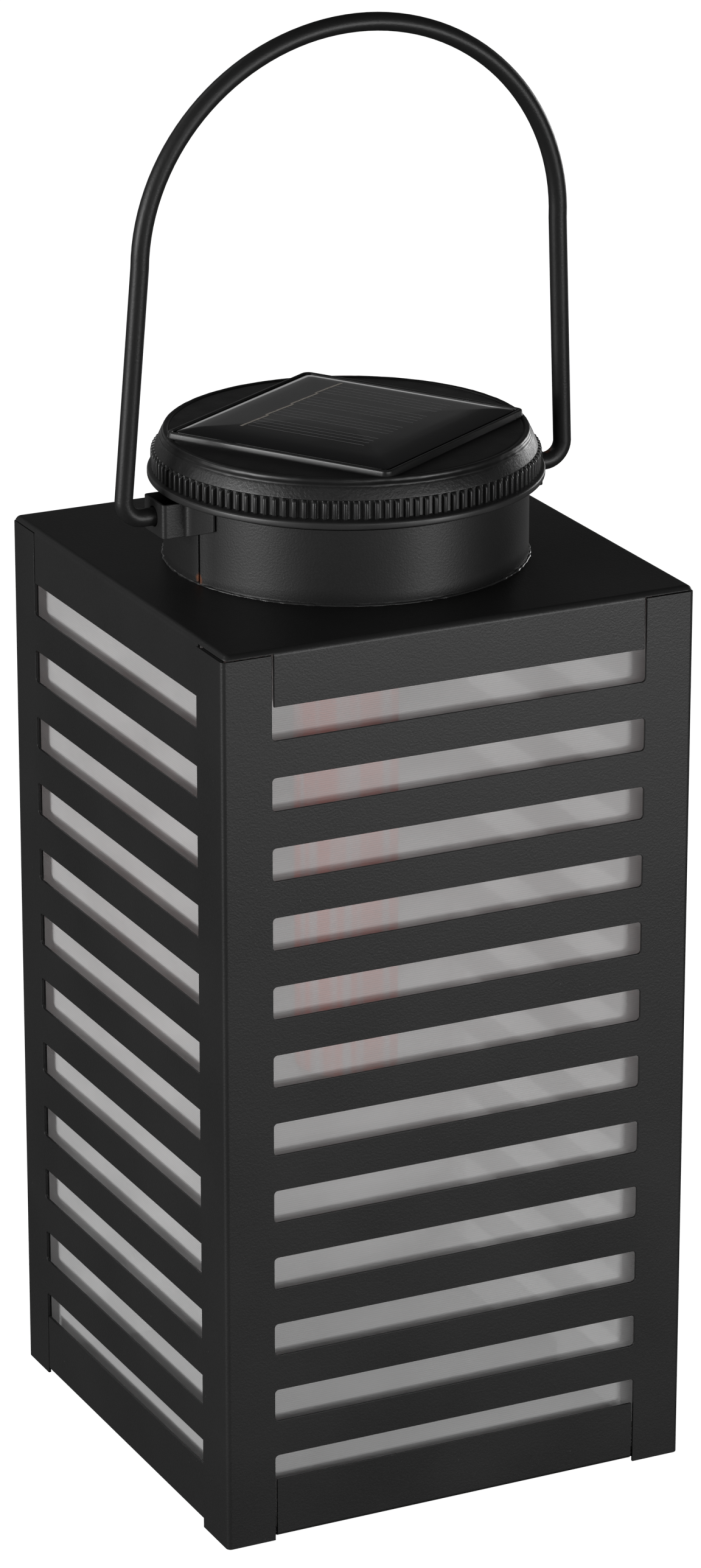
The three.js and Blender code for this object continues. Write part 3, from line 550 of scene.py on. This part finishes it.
def pan(sheet, path, face_z, roll_r, skirt_end, corner_angle, up):
    """Rolled edge and skirts below (up=1) or above (up=-1) a flat face, which the caller fills."""
    def at(p, a):
        inset = roll_r * (1 - math.sin(math.radians(a)))
        drop = roll_r * (1 - math.cos(math.radians(a)))
        return (p[0] - p[2] * inset, p[1] - p[3] * inset, face_z - up * drop)
    angles = [0, 15, 30, 45, 60, 75, 90]
    for p, q in zip(path, path[1:] + path[:1]):
        last = 90 if p[4] else corner_angle
        steps = [a for a in angles if a < last] + ([last] if last else [])
        for a, b in zip(steps, steps[1:]):
            sheet.face([at(p, a), at(q, a), at(q, b), at(p, b)])
        if p[4]:
            sheet.face([at(p, 90), at(q, 90), (q[0], q[1], skirt_end), (p[0], p[1], skirt_end)])
    return [at(p, 0) for p in path]


def lid_sheet():
    sheet = Sheet()
    rim = pan(sheet, pan_path(PAN_CORNER), LID_TOP, 1.8, SKIRT_BOTTOM, 70, 1)
    hole = [(x, y, LID_TOP) for x, y in arc(0, 0, COLLAR_R - SHEET, 0, 357.5, 143)]
    sheet.ring_fill(rim, hole)
    obj = piece("lid_sheet", sheet.bm, "lantern_body", PAINT, ["lid"])
    thicken(obj, SHEET)
    soften(obj, 0.14)


def tray_sheet():
    sheet = Sheet()
    rim = pan(sheet, pan_path(PAN_CORNER), TRAY_BOTTOM, 1.2, TRAY_TOP, 0, -1)
    sheet.face(rim)
    tab = LINER - 0.6 - GAP
    for k in range(4):
        turn = Matrix.Rotation(k * math.pi / 2, 3, "Z")
        corners = [(tab, -7, 1.6), (tab, 7, 1.6), (tab, 6, 9.1), (tab, -6, 9.1)]
        sheet.face([tuple(turn @ Vector(c)) for c in corners])
    middle = (0, 0, POST_TOP / 2)
    obj = piece("tray_sheet", sheet.bm, "lantern_body", PAINT, ["base_tray"], inside=middle)
    thicken(obj, SHEET)
    soften(obj, 0.14)


def liner_sleeve():
    sheet = Sheet()
    outline = rounded_square(LINER, 4, 12)
    rows = []
    for i in range(9):
        z = LINER_Z[0] + (LINER_Z[1] - LINER_Z[0]) * i / 8
        rows.append([(x, y, z) for x, y in outline])
    sheet.rows(rows, closed=True)
    piece("liner_sleeve", sheet.bm, "lantern_body", LINER_SHEET, ["diffuser_liner"])


# ---- collar, bead, brackets ----------------------------------------------------------------------
def collar_strip():
    sheet = Sheet()
    slit = 0.75 / COLLAR_R
    count = 180
    rows = []
    for z, grow in ((LID_TOP + 0.05, 0.35), (LID_TOP + 0.3, 0.12), (LID_TOP + 0.8, 0.0), (COLLAR_TOP, 0.0)):
        row = []
        for i in range(count + 1):
            t = i / count
            a = SEAM + slit + (2 * math.pi - 2 * slit) * t
            along = t * 2 * math.pi * COLLAR_R
            back = (1 - t) * 2 * math.pi * COLLAR_R
            lap = 0.45 * math.exp(-(along / 1.8) ** 4) - 0.2 * math.exp(-(back / 0.8) ** 2)
            r = COLLAR_R + grow + lap
            row.append((r * math.cos(a), r * math.sin(a), z))
        rows.append(row)
    sheet.rows(rows)
    backing = []
    for z in (LID_TOP + 0.2, COLLAR_TOP - 0.5):
        r = COLLAR_R - SHEET - 0.05
        turns = [SEAM + a for a in (-0.08, -0.03, 0.03, 0.08)]
        backing.append([(r * math.cos(a), r * math.sin(a), z) for a in turns])
    sheet.rows(backing)
    obj = piece("collar_strip", sheet.bm, "lantern_body", SHADED_RUSTED_COLLAR_PAINT, ["collar"])
    thicken(obj, SHEET - 0.1)
    soften(obj, 0.16)


def sealant_bead():
    """A thin uneven line of sealant round the collar's foot."""
    sheet = Sheet()
    rings = []
    count = 420
    for part in range(5):
        ring = []
        for i in range(count):
            a = 2 * math.pi * i / count
            swell = 0.75 + 0.5 * noise.noise(Vector((math.cos(a) * 22, math.sin(a) * 22, 3.1)))
            phi = math.pi / 2 * part / 4
            r = COLLAR_R + 0.05 + 0.75 * swell * math.cos(phi)
            z = LID_TOP + 0.02 + 0.55 * swell * math.sin(phi)
            ring.append((r * math.cos(a), r * math.sin(a), z))
        rings.append(ring)
    sheet.rows(rings, closed=True)
    glossy = moulded("sealant", 0.03, 0.26, grain=0.06, size=1.6, gloss=0.6)
    piece("sealant_bead", sheet.bm, "lantern_body", glossy, ["collar_bead"])


def bracket_strap(side):
    """Hat-shaped strap: hollow boss with the wire's hole, and tapered wings along the collar."""
    sheet = Sheet()
    low_z, high_z = BRACKET_Z
    r = COLLAR_R + GAP + SHEET
    boss = 6.5
    bend = 1.3
    foot = math.degrees(math.asin(boss / r))
    wing = [(x, y) for x, y in arc(0, 0, r, -20, -foot - 1.2, 6)]
    start_x = r * math.cos(math.radians(foot))
    near = wing + [(start_x + 0.5, -boss - 0.25), (start_x + 1.2, -boss)]
    near += arc(BOSS_X - bend, -boss + bend, bend, -90, 0, 6)
    far = [(x, -y) for x, y in reversed(near)]

    def bottom(y):
        over = max(0.0, abs(y) - boss - 0.4)
        return low_z + min(3.8, over * 0.36)

    for points in (near, far):
        sheet.rows([[(side * x, y, bottom(y)) for x, y in points],
                    [(side * x, y, high_z) for x, y in points]])
    face = [(side * BOSS_X, y, z) for y, z in
            ((near[-1][1], low_z), (far[0][1], low_z), (far[0][1], high_z), (near[-1][1], high_z))]
    hole = [(side * BOSS_X, y, z) for y, z in arc(0, PIVOT_Z, WIRE_R + 0.3, 0, 350, 35)]
    sheet.ring_fill(face, hole)
    name = "left" if side < 0 else "right"
    obj = piece(f"bracket_strap_{name}", sheet.bm, "lantern_body", PAINT,
                [f"bracket_{name}"])
    thicken(obj, SHEET)
    soften(obj, 0.15)


# ---- handle --------------------------------------------------------------------------------------
def bail_wire():
    lean = math.radians(3)
    arch_x = LEG_X - 4.0
    arch_start = 70.0
    arch_top = 130.6
    bend = 5.4
    tip = BOSS_X - 4.6
    half = [(tip + (LEG_X - bend - tip) * t, 0) for t in (0, 0.25, 0.5, 0.75)]
    half += [(x, z + bend) for x, z in arc(LEG_X - bend, 0, bend, -90, 0, 10)]
    half += [(LEG_X + (arch_x - LEG_X) * t, bend + (arch_start - bend) * t) for t in (0.2, 0.4, 0.6, 0.8)]
    rise = arch_top - arch_start
    arch = []
    for i in range(65):
        a = math.pi * i / 64
        arch.append((arch_x * math.cos(a), arch_start + rise * math.sin(a)))
    path = half + arch + [(-x, z) for x, z in reversed(half)]
    turn = Matrix.Rotation(lean, 3, "X")
    sheet = Sheet()
    rings = []
    sides = 24
    for i, (x, z) in enumerate(path):
        before = Vector(path[max(0, i - 1)])
        after = Vector(path[min(len(path) - 1, i + 1)])
        way = (after - before).normalized()
        normal = Vector((-way.y, way.x))
        ring = []
        for s in range(sides):
            a = 2 * math.pi * s / sides
            out = WIRE_R * math.cos(a)
            p = turn @ Vector((x + normal.x * out, WIRE_R * math.sin(a), z + normal.y * out))
            ring.append((p.x, p.y, p.z + PIVOT_Z))
        rings.append(ring)
    sheet.rows(rings, closed=True)
    for ring in (rings[0], rings[-1]):
        sheet.face(ring)
    obj = piece("bail_wire", sheet.bm, "handle", WIRE_PAINT, ["handle"])
    soften(obj, 0.4, 3, 50)


# ---- solar cap -----------------------------------------------------------------------------------
def on_panel(x, y):
    c, s = math.cos(PANEL_TURN), math.sin(PANEL_TURN)
    return x * c - y * s, x * s + y * c


def square_loft(levels, steps=6):
    """Rounded squares turned with the panel, each (half side, corner radius, height)."""
    sheet = Sheet()
    rows = []
    for half, r, z in levels:
        rows.append([(*on_panel(x, y), z) for x, y in rounded_square(half, r, steps)])
    sheet.rows(rows, closed=True)
    return sheet, rows


def cap_flange():
    f = FLANGE_Z
    profile = profile_curve([
        (47.8, f + 1.2), (47.9, f), (FLANGE_R, f), (FLANGE_R, f + 1.9),
        (RIB_R - 0.9, f + 2.3), (RIB_R - 1.6, f + 2.9),
    ], 0.55)
    # The flange carries the lighter tone of painted sheen, not a plastic of its own.
    piece("cap_flange", lathe(profile, 192).bm, "cap", FLANGE_PLASTIC_PAINTED_SHEEN, ["cap_cover"])


def grip_ring():
    """Square ribs with rounded edges, rising from a plain ring."""
    sheet = Sheet()
    root = RIB_R - 1.15
    shape = [(0.0, 0.0), (0.06, 0.0), (0.1, 0.25), (0.13, 0.8), (0.18, 1.0), (0.44, 1.0), (0.49, 0.8),
             (0.52, 0.25), (0.56, 0.0), (0.78, 0.0)]
    levels = [(1.9, 0.0), (2.1, 0.0), (2.2, 0.5), (2.4, 0.92), (2.8, 1.0), (6.5, 1.0), (7.1, 0.9), (7.4, 0.5),
              (7.55, 0.0), (7.7, -0.3)]
    rows = []
    for dz, part in levels:
        row = []
        for k in range(RIBS):
            for where, height in shape:
                a = 2 * math.pi * (k + where) / RIBS
                r = root + 1.15 * (height * part if part > 0 else part)
                row.append((r * math.cos(a), r * math.sin(a), FLANGE_Z + dz))
        rows.append(row)
    sheet.rows(rows, closed=True)
    piece("grip_ring", sheet.bm, "cap", SMOOTH_PLASTIC, ["cap_cover"])


def cap_top():
    """Grained shoulder, glossy step, and the flat disc inside its lip."""
    f = FLANGE_Z
    shoulder = profile_curve([(RIB_R - 1.5, f + 7.0), (RIB_R - 1.0, f + 7.5), (RIB_R - 2.2, f + 10.4),
                              (RIB_R - 2.5, f + 10.9)], 0.5)
    piece("cap_shoulder", lathe(shoulder, 192).bm, "cap", GRAINED_PLASTIC, ["cap_cover"])
    step = profile_curve([(RIB_R - 2.45, f + 10.7), (RIB_R - 2.6, f + 11.3), (DISC_R + 0.25, f + 11.7),
                          (DISC_R + 0.1, f + 12.0), (DISC_R, DISC_Z - 0.45), (DISC_R - 0.35, DISC_Z - 0.02),
                          (DISC_R - 1.3, DISC_Z - 0.1), (DISC_R - 1.7, DISC_Z - 0.4)], 0.3)
    ring = lathe(step, 288).bm
    for vert in ring.verts:
        way = Vector((vert.co.x, vert.co.y, 0)).normalized()
        swell = noise.noise(way * 26 + Vector((0, 0, vert.co.z * 900)))
        smear = max(0.0, noise.noise(way * 2.1)) * 1.6
        vert.co += (way * 0.7 + Vector((0, 0, 0.5))) * swell * (0.07 + 0.12 * smear) * MM
    piece("cap_step", ring, "cap", SMOOTH_PLASTIC, ["cap_cover"])
    disc = profile_curve([(DISC_R - 1.6, DISC_Z - 0.5), (DISC_R - 2.2, DISC_Z - 0.3), (30.0, DISC_Z - 0.15),
                          (0.0, DISC_Z - 0.15)], 0.4)
    top = moulded("moulded_top", 0.011, 0.44, grain=0.03, size=0.6, gloss=0.4)
    piece("cap_disc", lathe(disc, 192).bm, "cap", top, ["cap_cover"])


def cap_inside():
    """Underside of the cover with its three screw posts."""
    f = FLANGE_Z
    roof = DISC_Z - 2
    profile = [(47.8, f + 1.2), (47.8, f + 3), (50.0, f + 3.4), (50.0, f + 9), (48.5, roof), (0.0, roof)]
    sheet = lathe(profile_curve(profile, 0.5), 96)
    for x, y in ((34.6, 20), (-34.6, 20), (0, -40)):
        rows = []
        post = ((1.7, roof - 8), (1.7, LID_TOP + 13.3), (3.1, LID_TOP + 13.3), (3.4, LID_TOP + 13.7),
                (3.4, roof))
        for r, z in post:
            rows.append([(x + px, y + py, z) for px, py in arc(0, 0, r, 0, 345, 23)])
        sheet.rows(rows, closed=True)
    piece("cap_inside", sheet.bm, "cap", SMOOTH_PLASTIC, ["cap_cover"])


SEAT = 35.5
SEAT_Z = DISC_Z + 1.5
PANEL_HALF = 33.6


def panel_seat():
    z = SEAT_Z
    sheet, _ = square_loft([
        (SEAT + 0.35, 2.3, DISC_Z - 0.25), (SEAT + 0.08, 2.2, DISC_Z + 0.08), (SEAT - 0.05, 2.1, z - 0.4),
        (SEAT - 0.16, 2.0, z - 0.1), (SEAT - 0.38, 1.9, z), (SEAT - 0.85, 1.7, z),
        (SEAT - 1.02, 1.6, z - 0.1),
        (SEAT - 1.1, 1.55, z - 0.35), (SEAT - 1.3, 1.5, z - 1.7), (SEAT - 2.6, 1.2, z - 1.8),
    ], 5)
    satin = moulded("moulded_seat", 0.012, 0.3, gloss=0.5)
    piece("panel_seat", sheet.bm, "cap", satin, ["cap_cover"])


def resin_height(half):
    """Height of the resin over its rim for a ring of that half side."""
    t = min(1.0, half / PANEL_HALF)
    crown = 0.3 * (1 - t ** 2)
    fall = 0.95 * (max(0.0, t - 0.8) / 0.2) ** 2
    return SEAT_Z + 0.75 + crown - fall


def resin_cast():
    shares = (0.999, 0.996, 0.99, 0.98, 0.965, 0.95, 0.93, 0.91, 0.885, 0.86, 0.83, 0.8, 0.7, 0.5, 0.3, 0.1)
    halves = [PANEL_HALF * t for t in shares]
    levels = [(PANEL_HALF, 1.6, SEAT_Z - 1.5), (PANEL_HALF, 1.6, SEAT_Z - 0.35)]
    levels += [(h, 1.6 * h / PANEL_HALF, resin_height(h)) for h in halves]
    sheet, rows = square_loft(levels, 8)
    sheet.face(rows[-1])
    piece("resin_cast", sheet.bm, "cap", RESIN, ["resin_dome"])


def on_resin(u, v, lift):
    x, y = on_panel(u, v)
    return (x, y, resin_height(max(abs(u), abs(v))) + lift)


CELL_U = [2.7 + (k - 1.5) * 12.5 for k in range(4)]
CELL_TOP = 18.9


def strip_on_resin(sheet, a, b, width, lift):
    """A flat strip lying on the resin between two points of the panel."""
    a, b = Vector(a), Vector(b)
    side = (b - a).normalized().orthogonal() * width / 2
    steps = 10
    rows = []
    for sign in (-1, 1):
        rows.append([on_resin(*(a.lerp(b, i / steps) + side * sign), lift) for i in range(steps + 1)])
    sheet.rows(rows)


def cell_lines():
    ribbon = Sheet()
    for k, u in enumerate(CELL_U):
        strip_on_resin(ribbon, (u - 6.5, CELL_TOP + 0.45), (u + 5.6, CELL_TOP - 0.25), 0.75, 0.03)
        strip_on_resin(ribbon, (u - 1.4, CELL_TOP + 0.2), (u + 6.1, CELL_TOP - 0.3), 0.8, 0.04)
    piece("cell_bus_ribbon", ribbon.bm, "cap", RIBBON, ["cell_ribbon"])
    fingers = Sheet()
    for u in CELL_U:
        for part in (-4.6, -2.2, 0.2, 2.6):
            strip_on_resin(fingers, (u + part, CELL_TOP - 0.6), (u + part, CELL_TOP - 37.5), 0.28, 0.02)
    piece("cell_fingers", fingers.bm, "cap", FINGERS)


# ---- lamp ----------------------------------------------------------------------------------------
def lamp():
    bottom, top = LAMP_Z
    rows = [(LAMP_R, bottom), (LAMP_R, top)]
    sleeve = lathe(rows, 64)
    piece("lamp_sleeve", sleeve.bm, "cap", TUBE_SHEET, ["lamp_tube"])


CAD_FINISH = {
    "lamp_tip": frosted_sheet("frosted_tip", (0.6, 0.56, 0.53), 0.1),
    "lamp_core": plain("core_plastic", (0.62, 0.6, 0.57), 0.5),
    "led_sheet": plain("flame_phosphor", (0.75, 0.2, 0.13), 0.5),
    "seal_ring": plain("seal_rubber", (0.014, 0.014, 0.014), 0.7),
    "solar_backing": plain("backing_board", (0.02, 0.02, 0.02), 0.5),
    "lower_housing": moulded("moulded_housing", 0.014, 0.42, grain=0.03, size=0.6),
    "battery_cover": moulded("moulded_battery_cover", 0.014, 0.42, grain=0.03, size=0.6),
    "switch_knob": moulded("moulded_knob", 0.02, 0.35),
    "battery": plain("battery_wrap", (0.05, 0.16, 0.08), 0.35),
    "circuit_board": plain("solder_mask", (0.012, 0.1, 0.035), 0.35),
    "controller_chip": plain("chip_body", (0.015, 0.015, 0.015), 0.45),
    "choke_coil": plain("ferrite", (0.03, 0.03, 0.032), 0.55),
    "capacitor": plain("capacitor_can", (0.5, 0.5, 0.52), 0.3, 0.9),
    "switch_body": plain("switch_can", (0.5, 0.5, 0.5), 0.35, 0.9),
}
WIRE_RED = plain("wire_red", (0.36, 0.02, 0.02), 0.45)
WIRE_BLACK = plain("wire_black", (0.015, 0.015, 0.015), 0.45)
STEEL = plain("plated_screws", (0.55, 0.55, 0.56), 0.28, 1.0)
SILICON = plain("silicon", (0.012, 0.014, 0.03), 0.2)


def finish_cad_nodes():
    for name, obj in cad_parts.items():
        if name in CAD_FINISH:
            material = CAD_FINISH[name]
        elif "lead_red" in name:
            material = WIRE_RED
        elif "lead_black" in name:
            material = WIRE_BLACK
        elif name.startswith("solar_cell"):
            material = SILICON
        elif "screw" in name or name in ("battery_spring", "battery_plate"):
            material = STEEL
        else:
            continue
        obj.data.materials.clear()
        obj.data.materials.append(material)


# ---- stage ---------------------------------------------------------------------------------------
def stage():
    mesh = bpy.data.meshes.new("floor")
    reach = 14.0
    corners = [(-reach, -reach, 0), (reach, -reach, 0), (reach, reach, 0), (-reach, reach, 0)]
    mesh.from_pydata(corners, [], [(0, 1, 2, 3)])
    floor = bpy.data.objects.new("floor", mesh)
    bpy.context.collection.objects.link(floor)
    floor.location.z = -0.0002
    n = Nodes("floor")
    tone = n.ramp(n.noise(900, 2), (0.3, (0.52, 0.52, 0.52)), (0.7, (0.56, 0.56, 0.56)))
    n.put(Base_Color=tone, Roughness=0.9, Emission_Color=(1.0, 1.0, 1.0), Emission_Strength=0.94)
    mesh.materials.append(n.material)
    floor.visible_glossy = False
    floor.visible_diffuse = False
    floor.visible_transmission = False
    world = bpy.data.worlds.new("studio")
    world.use_nodes = True
    background = world.node_tree.nodes["Background"]
    background.inputs["Color"].default_value = (1, 1, 1, 1)
    background.inputs["Strength"].default_value = 0.04
    bpy.context.scene.world = world
    bpy.context.scene.view_settings.view_transform = "Standard"


def softbox(name, azimuth, elevation, distance, width, height, power, aim=(0, 0, 0.17)):
    a, e = math.radians(azimuth), math.radians(elevation)
    aim = Vector(aim)
    place = aim + distance * Vector((math.sin(a) * math.cos(e), -math.cos(a) * math.cos(e), math.sin(e)))
    light = bpy.data.lights.new(name, "AREA")
    light.shape = "RECTANGLE"
    light.size = width
    light.size_y = height
    light.energy = power
    obj = bpy.data.objects.new(name, light)
    obj.location = place
    obj.rotation_euler = (aim - place).to_track_quat("-Z", "Y").to_euler()
    bpy.context.collection.objects.link(obj)


def camera():
    data = bpy.data.cameras.new("camera")
    data.lens = 137.5
    obj = bpy.data.objects.new("camera", data)
    bpy.context.collection.objects.link(obj)
    obj.location = (-0.6838, -1.4043, 0.7495)
    aim = Vector((0.0011, -0.0005, 0.1889))
    obj.rotation_euler = (aim - obj.location).to_track_quat("-Z", "Y").to_euler()
    bpy.context.scene.camera = obj


camera()
body_sheet()
lid_sheet()
tray_sheet()
liner_sleeve()
collar_strip()
sealant_bead()
bracket_strap(-1)
bracket_strap(1)
bail_wire()
cap_flange()
grip_ring()
cap_top()
cap_inside()
panel_seat()
resin_cast()
cell_lines()
lamp()
finish_cad_nodes()
stage()
softbox("key_right", 26, -1, 1.7, 0.55, 0.26, 13)
softbox("key_left", -84, 3, 1.7, 0.7, 0.4, 22)
softbox("fill_left", -100, 17, 1.9, 1.1, 0.5, 7)
softbox("fill_front", 2, 12, 2.0, 1.6, 0.4, 8)
softbox("horizon", 154, 1, 2.6, 4.0, 0.5, 2.6)
softbox("backdrop", 154, 12, 2.6, 4.0, 0.7, 0.6)
softbox("back_top", -140, 46, 2.0, 0.9, 0.7, 3)
softbox("rim_right", 118, 3, 1.8, 0.6, 0.4, 5.5)
